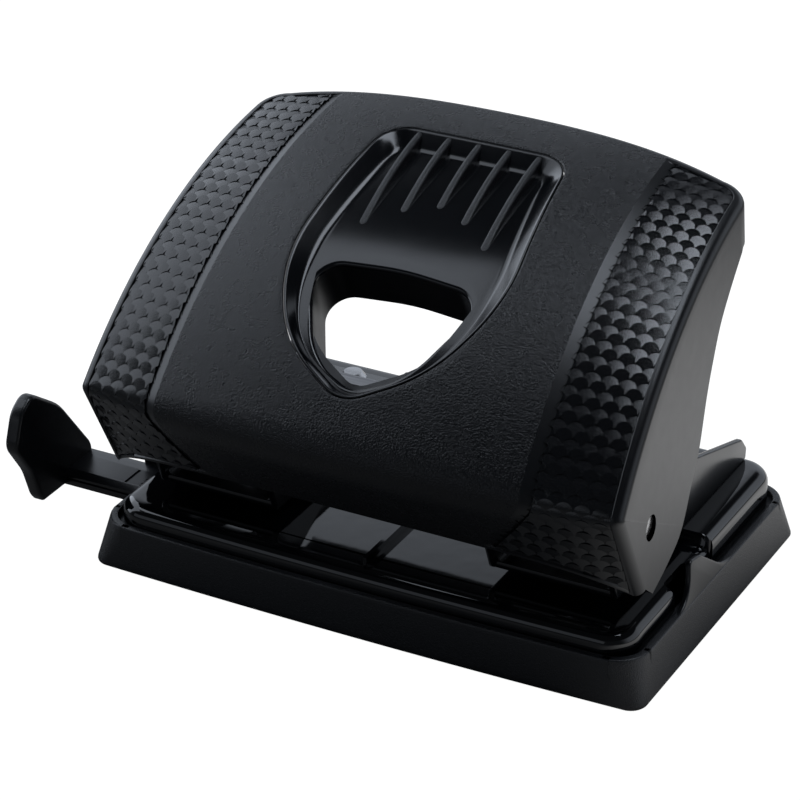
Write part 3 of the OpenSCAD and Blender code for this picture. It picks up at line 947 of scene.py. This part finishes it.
def grip_rib(index):
    """A grained rib with a round lower end, which rises from the floor to the recess's upper rim."""
    low = RIB_LOW[abs(index)]
    round_end = low + RIB_HALF * (1 - np.cos(np.linspace(0, QUARTER, 7)))
    section = np.linspace(-QUARTER, QUARTER, 13)
    across = np.sign(np.sin(section)) * np.abs(np.sin(section)) ** 0.6
    rise = np.abs(np.cos(section)) ** 0.3
    foot = FLOOR + RIB_ROOT
    rows = []
    for s in np.concatenate([round_end, np.linspace(low + 2, RIB_TOP, 44)]):
        before_end = max(0.0, (low + RIB_HALF - s) / RIB_HALF)
        width = RIB_HALF * math.sqrt(max(0.0, 1 - before_end ** 2)) + 0.001
        top = RIB_LIFT + (FLOOR - RIB_LIFT) * ((RIB_TOP - s) / (RIB_TOP - low)) ** 1.7
        line = np.stack([index * RIB_PITCH + width * across, np.full(len(section), s)], 1)
        rows.append(face_line(line, foot - (foot - top) * rise)[0])
    shape = Shape()
    shape.grid(rows)
    shape.cap(rows[0])
    shape.cap(rows[-1][::-1])
    side = "m" if index < 0 else "p"
    piece(f"grip_rib_{side}{abs(index)}", shape, [rib_skin], "handle", sharp=40,
          weld=FINE_WELD, outward=True)


# ---------- base ----------

FRONT_BOW, BOW_REACH = 1.2, 14
CORNER_STEPS = 10
STOP_Y = 2.0
BAR_Y = -22.5


def bowed(points, hx, hy):
    """Pushes the front outward in the middle."""
    points = points.copy()
    share = np.clip((-points[..., 1] - (hy - BOW_REACH)) / BOW_REACH, 0, 1.3)
    points[..., 1] -= FRONT_BOW * (1 - (points[..., 0] / hx) ** 2) * share
    return points


def frame_loop(hx, hy, radius, xs, ys):
    """Rounded rectangle whose straight stretches have the given x and y places."""
    def corner(side_x, side_y, start):
        turns = np.radians(start + 90 * np.arange(CORNER_STEPS + 1) / CORNER_STEPS)
        centre = np.array([side_x * (hx - radius), side_y * (hy - radius)])
        return centre + radius * np.stack([np.cos(turns), np.sin(turns)], 1)

    front = np.stack([xs, np.full(len(xs), -hy)], 1)
    right = np.stack([np.full(len(ys), hx), ys], 1)
    back, left = front[::-1] * np.array([1, -1]), right[::-1] * np.array([-1, 1])
    loop = np.vstack([front, corner(1, -1, -90), right, corner(1, 1, 0),
                      back, corner(-1, 1, 90), left, corner(-1, -1, 180)])
    return bowed(loop, hx, hy)


def with_z(line, z):
    return np.concatenate([line, np.broadcast_to(z, line.shape[:-1])[..., None]], -1)


# Pressed plate: sheet thickness, corner radius in plan, and radius of its top edge
SHEET, PLATE_CORNER, PLATE_ROUND = 1.6, 7.0, 3.0


def plate_cutter(table, hx):
    """Notches for the tray's tabs, die holes, the guide bar's way out and the centre mark."""
    cutter = Shape()
    notch = rounded([[60.2, -16.6, 1.5], [70, -16.6, 0.1], [70, 3.7, 0.1], [62.7, 3.7, 0.4], [62.7, -5, 0.8],
                     [60.2, -6, 1.2]], 5, 50)
    die = middle_of("die_right")
    for side in (1, -1):
        cutter.add(prism(notch[::side] * np.array([side, 1]), 0, 30, along_z))
    for side in (-1, 1):
        cutter.add(prism(disc(side * die[0], die[1], 4.52), 13.4, 17, along_z))
    bar_half, bar_top = 6.6, box_mm("guide_channel")[1][2] - 1.2
    cutter.add(block([-hx - 2, BAR_Y - bar_half, 0], [-hx + 4, BAR_Y + bar_half, bar_top]))
    mark = rounded(rectangle(-0.5, -39.2, 0.5, -16, 0.3), 4, 50)
    cutter.add(prism(mark, table - 0.55, table + 2, along_z))
    return cutter


def base_plate():
    """The pressed plate: paper table in front, raised behind the paper stop, with rounded edges."""
    low, high = box_mm("base_plate")
    hx, hy, bottom, plateau = high[0], high[1], low[2], high[2]
    table = box_mm("die_right")[1][2]
    core_x, core_y = hx - PLATE_CORNER, hy - PLATE_CORNER
    step_start, step_end = STOP_Y - 1.2, STOP_Y + 1.6
    xs = np.linspace(-core_x, core_x, 61)
    parts = (-core_y, step_start, 22), (step_start, step_end, 15), (step_end, core_y, 20)
    ys = np.unique(np.concatenate([np.linspace(*part) for part in parts]))

    def level(y):
        return table + (plateau - table) * smooth((y - STOP_Y + 0.3) / 1.5)

    def loop(distance):
        return frame_loop(hx - distance, hy - distance, PLATE_CORNER - distance, xs, ys)

    def under_top(distance, depth):
        line = loop(distance)
        return with_z(line, level(line[:, 1]) - depth)

    rows = [under_top(SHEET, SHEET + 1), with_z(loop(SHEET), bottom)]
    rows += [with_z(loop(0.25), bottom), with_z(loop(0), bottom + 0.25)]
    for turn in np.linspace(0, QUARTER, 9):
        rows.append(under_top(PLATE_ROUND * (1 - math.cos(turn)), PLATE_ROUND * (1 - math.sin(turn))))
    rows += [under_top(distance, 0) for distance in (4.5, 6.0, PLATE_CORNER)]
    under = [rows[0], under_top(3.0, SHEET), under_top(PLATE_CORNER, SHEET)]
    grid = np.stack(np.meshgrid(xs, ys), -1)
    core = with_z(bowed(grid, hx, hy), level(grid[..., 1]))
    shape = Shape()
    shape.grid(rows, close=True)
    shape.grid(core)
    shape.grid(under, close=True, flip=True)
    shape.grid(core - np.array([0, 0, SHEET]), flip=True)
    piece("base_sheet", shape, [enamel], "mechanism", ["base_plate"], sharp=35,
          cutter=plate_cutter(table, hx))


# Tray: rim height, lean of the walls over that height, wall and floor thickness, corner radii
TRAY_RIM = 11.0
TRAY_LEAN_X, TRAY_LEAN_Y = 1.8, 1.0
TRAY_WALL, TRAY_FLOOR = 1.7, 2.0
TRAY_FOOT_R, TRAY_CORNER = 4.0, 8.0
FOOT_ROUND, RIM_EDGE, RIM_INNER = 1.0, 0.35, 0.3
LEDGE, FLOOR_BEVEL = 2.0, 0.6


def tray_shape(hx, hy):
    """Open tray with walls that lean inward and a stepped rim for the plate."""
    core_x, core_y = hx - TRAY_CORNER, hy - TRAY_CORNER
    xs, ys = np.linspace(-core_x, core_x, 41), np.linspace(-core_y, core_y, 29)

    def loop(z, distance):
        share = z / TRAY_RIM
        radius = max(TRAY_FOOT_R + (TRAY_CORNER - TRAY_FOOT_R) * share - distance, 0.3)
        x, y = hx - TRAY_LEAN_X * share - distance, hy - TRAY_LEAN_Y * share - distance
        return with_z(frame_loop(x, y, radius, xs, ys), z)

    rim_start, inner = TRAY_RIM - RIM_EDGE, TRAY_WALL + LEDGE
    rows = [loop(0, TRAY_CORNER - 0.1), loop(0, 2.2), loop(0, FOOT_ROUND)]
    for turn in np.linspace(0, QUARTER, 5)[1:]:
        rows.append(loop(FOOT_ROUND * (1 - math.cos(turn)), FOOT_ROUND * (1 - math.sin(turn))))
    rows += [loop(z, 0) for z in (2, 4, 6, 8, 10, rim_start)]
    for turn in np.linspace(0, QUARTER, 5)[1:]:
        rows.append(loop(rim_start + RIM_EDGE * math.sin(turn), RIM_EDGE * (1 - math.cos(turn))))
    for turn in np.linspace(0, QUARTER, 4):
        z = TRAY_RIM - RIM_INNER * (1 - math.cos(turn))
        rows.append(loop(z, TRAY_WALL - RIM_INNER * (1 - math.sin(turn))))
    rows += [loop(9.4, TRAY_WALL), loop(9.4, inner), loop(TRAY_FLOOR + FLOOR_BEVEL, inner)]
    rows += [loop(TRAY_FLOOR, inner + FLOOR_BEVEL), loop(TRAY_FLOOR, TRAY_CORNER - 0.1)]
    core = bowed(np.stack(np.meshgrid(xs, ys), -1), hx, hy)
    shape = Shape()
    shape.grid(rows, close=True)
    shape.grid(with_z(core, 0.0), flip=True)
    shape.grid(with_z(core, TRAY_FLOOR))
    return shape


def thumb_tab(hx):
    """A tab that lies in the right wall's slope."""
    outline = rounded([[-25, 8.5, 0.5], [-24, 11.15, 1], [-14.2, 11.4, 8], [-11.7, 20.1, 1.2],
                       [-6.6, 19.2, 4.5], [4.3, 11.4, 14], [15, 11.1, 1], [15, 8.5, 0.5]], 10, 1.0)
    tilt = math.atan(TRAY_LEAN_X / TRAY_RIM)
    cos, sin = math.cos(tilt), math.sin(tilt)

    def on_wall(a, b, t):
        return np.array([hx + t * cos - b * sin, a, b * cos + t * sin])

    return slab(outline, -1.55, -0.16, on_wall, edge=0.4, steps=3)


def chip_tray():
    hx, hy = box_mm("chip_tray")[1][:2]
    bar_gap = block([-hx - 2, BAR_Y - 6.7, 7.9], [-hx + 6, BAR_Y + 6.7, 30])
    tab = thumb_tab(hx)
    piece("tray_shell", tray_shape(hx, hy), [tray_skin], "tray", ["chip_tray"], sharp=35,
          cutter=bar_gap)
    piece("tray_tab_right", tab, [tab_skin], "tray", sharp=35, outward=True)
    piece("tray_tab_left", tab.reflected(), [tab_skin], "tray", sharp=35, outward=True,
          cutter=bar_gap)


# ---------- brackets ----------

BRACKET_T = 1.6
BEND_R = 1.5
BRACKET_FRONT, BRACKET_BACK = -31.2, 34


def bracket_ears(near, far, foot, pin):
    """Outer and inner ear of the right bracket, with round ends at the hinge pin."""
    start = [BRACKET_FRONT, foot, 0.6]
    knob = [[pin[1] + 4.4, pin[2] + 5.2, 4], [pin[1] - 4.6, pin[2] + 5.4, 4.6],
            [pin[1] - 5.9, pin[2] - 1.6, 3.5]]
    outer = [start, [39.3, foot, 0.6], [39.6, 21, 1.6], [36.6, 24.4, 2.6], [10, 32.6, 60]] + knob
    inner = [start, [BRACKET_BACK, foot, 0.6], [BRACKET_BACK, 23.6, 2.5], [-15, 23.6, 6], [-22.5, 27.5, 7],
             [-28.2, 40, 5]] + knob[1:]
    ears = slab(rounded(outer, 8, 1.2), far - BRACKET_T, far, along_x, edge=0.45, steps=3)
    ears.add(slab(rounded(inner, 8, 1.2), near, near + BRACKET_T, along_x, edge=0.45, steps=3))
    return ears


def bracket_bends(near, far, foot):
    """The rounded inner corners between web and ears."""
    bends = Shape()
    for x, sign in ((near + BRACKET_T, 1), (far - BRACKET_T, -1)):
        section = [[x - sign * 0.4, foot + 0.6]]
        for turn in np.linspace(0, QUARTER, 7):
            z = foot + BRACKET_T + BEND_R * (1 - math.sin(turn))
            section.append([x + sign * BEND_R * (1 - math.cos(turn)), z])
        section.append([x + sign * BEND_R, foot + 0.6])
        bends.add(prism(section, BRACKET_FRONT + 0.6, BRACKET_BACK - 0.4, along_y))
    return bends


def bracket(name):
    """A pressed U channel: ears, the web riveted to the plate, and the bends between them."""
    low, high = box_mm("bracket_right")
    near, far, foot = low[0], high[0], low[2]
    pin, die = middle_of("hinge_pin_right"), middle_of("die_right")
    outline = rounded(rectangle(near + 0.3, -31, far - 0.3, BRACKET_BACK, 0.8), 4, 4)
    web = slab(outline, foot, foot + BRACKET_T, along_z, edge=0.25, steps=2)
    web_hole = prism(disc(die[0], die[1], 4.45), 10, 24, along_z)
    pin_hole = prism(disc(pin[1], pin[2], 2.8), far - 4, far + 4, along_x)
    parts = (("ears", bracket_ears(near, far, foot, pin), pin_hole, [name]),
             ("web", web, web_hole, []),
             ("bends", bracket_bends(near, far, foot), None, []))
    for part, shape, hole, covers in parts:
        if name == "bracket_left":
            shape = shape.reflected()
            hole = hole and hole.reflected()
        piece(f"{name}_{part}", shape, [satin_enamel], "mechanism", covers, sharp=30,
              cutter=hole, outward=True)


# ---------- paper guide ----------

BAR_HALF, BAR_LOW, BAR_HIGH = 6.0, 8.3, 12.1
PADDLE_T = 3.5
MARK_X = (-69.2, -48)
FIGURES = {"80": -66.8, "2": -45.6}


def guide_bar(start, end):
    """The sliding bar, with a chamfer and a fine groove along its front edge, and size marks on top."""
    front = BAR_Y - BAR_HALF
    section = rounded([[front, BAR_LOW, 0.3], [BAR_Y + BAR_HALF, BAR_LOW, 0.3],
                       [BAR_Y + BAR_HALF, BAR_HIGH, 0.4], [front + 1.5, BAR_HIGH, 0.3],
                       [front + 0.1, BAR_HIGH - 1.2, 0.3], [front + 0.1, BAR_HIGH - 1.9, 0.1],
                       [front + 0.45, BAR_HIGH - 1.95, 0.05], [front + 0.45, BAR_HIGH - 2.25, 0.05],
                       [front, BAR_HIGH - 2.3, 0.1]], 3, 1.5)
    marks = Shape()
    for x in MARK_X:
        outline = rounded(rectangle(x, front + 1.6, x + 0.75, front + 8, 0.1), 2, 50)
        marks.add(prism(outline, BAR_HIGH - 0.35, BAR_HIGH + 2, along_z))
    bar = slab(section, start, end, along_x, edge=0.12, steps=2)
    piece("guide_bar", bar, [guide_skin], "guide", ["paper_guide"], sharp=25, outward=True,
          cutter=marks)


def guide_paddle(start, end):
    """The flat grip at the bar's end."""
    outline = rounded([[-37.4, 8.3, 1], [-18, 8.3, 2], [-16, 12.8, 5], [-29, 29.5, 20], [-39.6, 36.9, 3.5],
                       [-44.4, 34, 6], [-47.3, 26, 4], [-41.5, 17.5, 14], [-38.8, 10, 6]], 12, 1)
    paddle = slab(outline, start, end, along_x, edge=0.9, steps=5)
    piece("guide_paddle", paddle, [guide_skin], "guide", sharp=40, outward=True)


def guide_figures(text, x, y, z):
    """Small raised figures lying on the bar, read from the paddle's end."""
    curve = bpy.data.curves.new("figures", "FONT")
    curve.body = text
    curve.size = 4.0 * MM
    curve.extrude = 0.12 * MM
    holder = in_scene("figures", curve)
    mesh = evaluated_mesh(holder)
    bpy.data.objects.remove(holder)
    points = np.zeros(len(mesh.vertices) * 3)
    mesh.vertices.foreach_get("co", points)
    across, up, out = points.reshape(-1, 3).T
    turned = np.stack([x * MM - up, across + y * MM, out + z * MM], 1)
    mesh.vertices.foreach_set("co", turned.reshape(-1))
    mesh.materials.clear()
    mesh.materials.append(tab_skin)
    obj = in_scene(f"guide_figures_{text}", mesh)
    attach(obj, "guide")


def paper_guide():
    low, high = box_mm("paper_guide")
    paddle_in = low[0] + PADDLE_T
    guide_bar(paddle_in - 1.5, high[0])
    guide_paddle(low[0], paddle_in)
    for text, x in FIGURES.items():
        guide_figures(text, x + 4, BAR_Y - 4.4, BAR_HIGH)


# ---------- springs ----------

WIRE_R, COILS = 0.4, 6.5


def coil_spring(side):
    """A coil round the punch, closer wound at its ends."""
    name = f"punch_spring_{side}"
    low, high = box_mm(name)
    x, y = middle_of(f"punch_clip_{side}")[0], middle_of("die_right")[1]
    coil_r = (high[0] - low[0]) / 2 - WIRE_R
    t = np.linspace(0, 1, 300)
    rise = 0.35 * (0.5 - 0.5 * np.cos(math.pi * t)) + 0.65 * t
    height = low[2] + WIRE_R + (high[2] - low[2] - 2 * WIRE_R) * rise
    section = np.linspace(0, 2 * math.pi, 10, endpoint=False)[:, None]
    rows = []
    for a, z in zip(2 * math.pi * COILS * t, height):
        out = np.array([math.cos(a), math.sin(a), 0])
        ring = np.cos(section) * out + np.sin(section) * np.array([0, 0, 1])
        rows.append(np.array([x, y, z]) + coil_r * out + WIRE_R * ring)
    shape = Shape()
    shape.grid(rows, close=True)
    shape.cap(rows[0][::-1])
    shape.cap(rows[-1])
    obj = piece(f"coil_{name}", shape, [dark_steel], "mechanism", [name], sharp=60,
                outward=True)
    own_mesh(obj)


# ---------- CAD nodes that stay ----------

FINISHES = {
    ground_steel: ["bracket_rivets", "die_left", "die_right", "punch_left", "punch_right", "hinge_pin_left",
                   "hinge_pin_right", "lever_screws", "guide_bush_left", "guide_bush_right"],
    dark_steel: ["punch_clip_left", "punch_clip_right", "pin_clips", "guide_detent"],
    lever_steel: ["pressure_lever"],
    inner_skin: ["hinge_spacers", "guide_channel"],
}


def finish_nodes():
    for finish, names in FINISHES.items():
        for name in names:
            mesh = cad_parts[name].data
            mesh.materials.clear()
            mesh.materials.append(finish)


# ---------- floor, light and camera ----------

FLOOR_GLOW, FLOOR_SEEN = 0.9, 1.0
HORIZON, ZENITH = 0.8, 0.03
LIGHT_COLOUR = (0.82, 0.89, 1.0)
# Towards the floor's lit part, right and behind the object
LIT_SIDE = (0.8, 0.6, 0)


def floor_material():
    """White to the camera. The object sees it glowing as painted light: bright beside and behind it, dark in
    front, and dark close to the object as a painted shadow.
    """
    made = bpy.data.materials.new("floor_white")
    made.use_nodes = True
    tree = made.node_tree
    shader = tree.nodes["Principled BSDF"]
    shader.inputs["Base Color"].default_value = (0.12, 0.12, 0.12, 1)
    shader.inputs["Roughness"].default_value = 0.9
    shader.inputs["Specular IOR Level"].default_value = 0.1
    shader.inputs["Emission Color"].default_value = (1, 1, 1, 1)
    where = place_in(tree, "Object")
    length = joined(tree, "ShaderNodeVectorMath", {0: where}, operation="LENGTH").outputs["Value"]
    aside = joined(tree, "ShaderNodeVectorMath", {0: where, 1: LIT_SIDE}, operation="DOT_PRODUCT")
    # painted contact shadow: the glow the object sees is nil within 60 mm of the middle and reaches full
    # strength by 110 mm
    glow = ranged(tree, length, 0.060, 0.110, 0, FLOOR_GLOW)
    glow = product(tree, glow, ranged(tree, length, 0.14, 0.30, 1, 0.15))
    glow = product(tree, glow, ranged(tree, aside.outputs["Value"], -0.02, 0.08, 0.06, 1))
    seen = tree.nodes.new("ShaderNodeLightPath").outputs["Is Camera Ray"]
    strength = joined(tree, "ShaderNodeMix", {"Factor": seen, "A": glow, "B": FLOOR_SEEN})
    tree.links.new(strength.outputs["Result"], shader.inputs["Emission Strength"])
    return made


def floor():
    size = 6000
    shape = Shape()
    shape.grid([[[-size, -size, 0], [size, -size, 0]], [[-size, size, 0], [size, size, 0]]])
    obj = in_scene("floor", mesh_of(shape, "floor"))
    obj.location.z = -0.05 * MM
    obj.data.materials.append(floor_material())


def sky():
    """A white backdrop low at the back and sides, dark above and in front."""
    world = bpy.data.worlds.new("studio")
    bpy.context.scene.world = world
    world.use_nodes = True
    tree = world.node_tree
    split = joined(tree, "ShaderNodeSeparateXYZ", {"Vector": place_in(tree, "Generated")})
    low = ranged(tree, split.outputs["Z"], 0.45, 0.58, 1, 0)
    behind = ranged(tree, split.outputs["Y"], -0.55, 0.25, 0.12, 1)
    level = ranged(tree, product(tree, low, behind), 0, 1, ZENITH, HORIZON)
    tree.nodes["Background"].inputs["Color"].default_value = (*LIGHT_COLOUR, 1)
    tree.links.new(level, tree.nodes["Background"].inputs["Strength"])


def soft_box(name, direction, distance, width, height, level):
    """A rectangular light of the given brightness, facing the object."""
    light = bpy.data.lights.new(name, "AREA")
    light.shape = "RECTANGLE"
    light.size, light.size_y = width, height
    light.energy = level * math.pi * width * height
    light.color = LIGHT_COLOUR
    obj = in_scene(name, light)
    aim = Vector((0, 0, 0.05))
    obj.location = aim + Vector(direction).normalized() * distance
    obj.rotation_euler = (aim - obj.location).to_track_quat("-Z", "Y").to_euler()


def camera():
    data = bpy.data.cameras.new("camera")
    data.lens = 147.63
    data.sensor_width = 36
    data.clip_start = 0.01
    data.clip_end = 50
    obj = in_scene("camera", data)
    obj.location = (0.2929, -0.5772, 0.3766)
    aim = Vector((-0.0099, -0.0040, 0.0371))
    obj.rotation_euler = (aim - obj.location).to_track_quat("-Z", "Y").to_euler()
    bpy.context.scene.camera = obj


# ---------- assembly ----------

handle_shell()
scales()
grip_insert()
for rib in range(-2, 3):
    grip_rib(rib)
base_plate()
chip_tray()
bracket("bracket_right")
bracket("bracket_left")
paper_guide()
coil_spring("right")
coil_spring("left")
finish_nodes()

floor()
sky()
soft_box("overhead", (0.20, 0.13, 0.96), 1.2, 0.72, 0.40, 5.0)
soft_box("front_left", (-0.44, -0.08, 0.89), 1.25, 0.52, 0.48, 1.9)
soft_box("left", (-0.88, 0.12, 0.46), 1.3, 1.5, 1.3, 1.5)
soft_box("front_fill", (-0.35, -0.88, 0.25), 1.4, 1.6, 0.5, 0.35)
camera()
bpy.context.scene.view_settings.view_transform = "Standard"

bpy.context.view_layer.update()
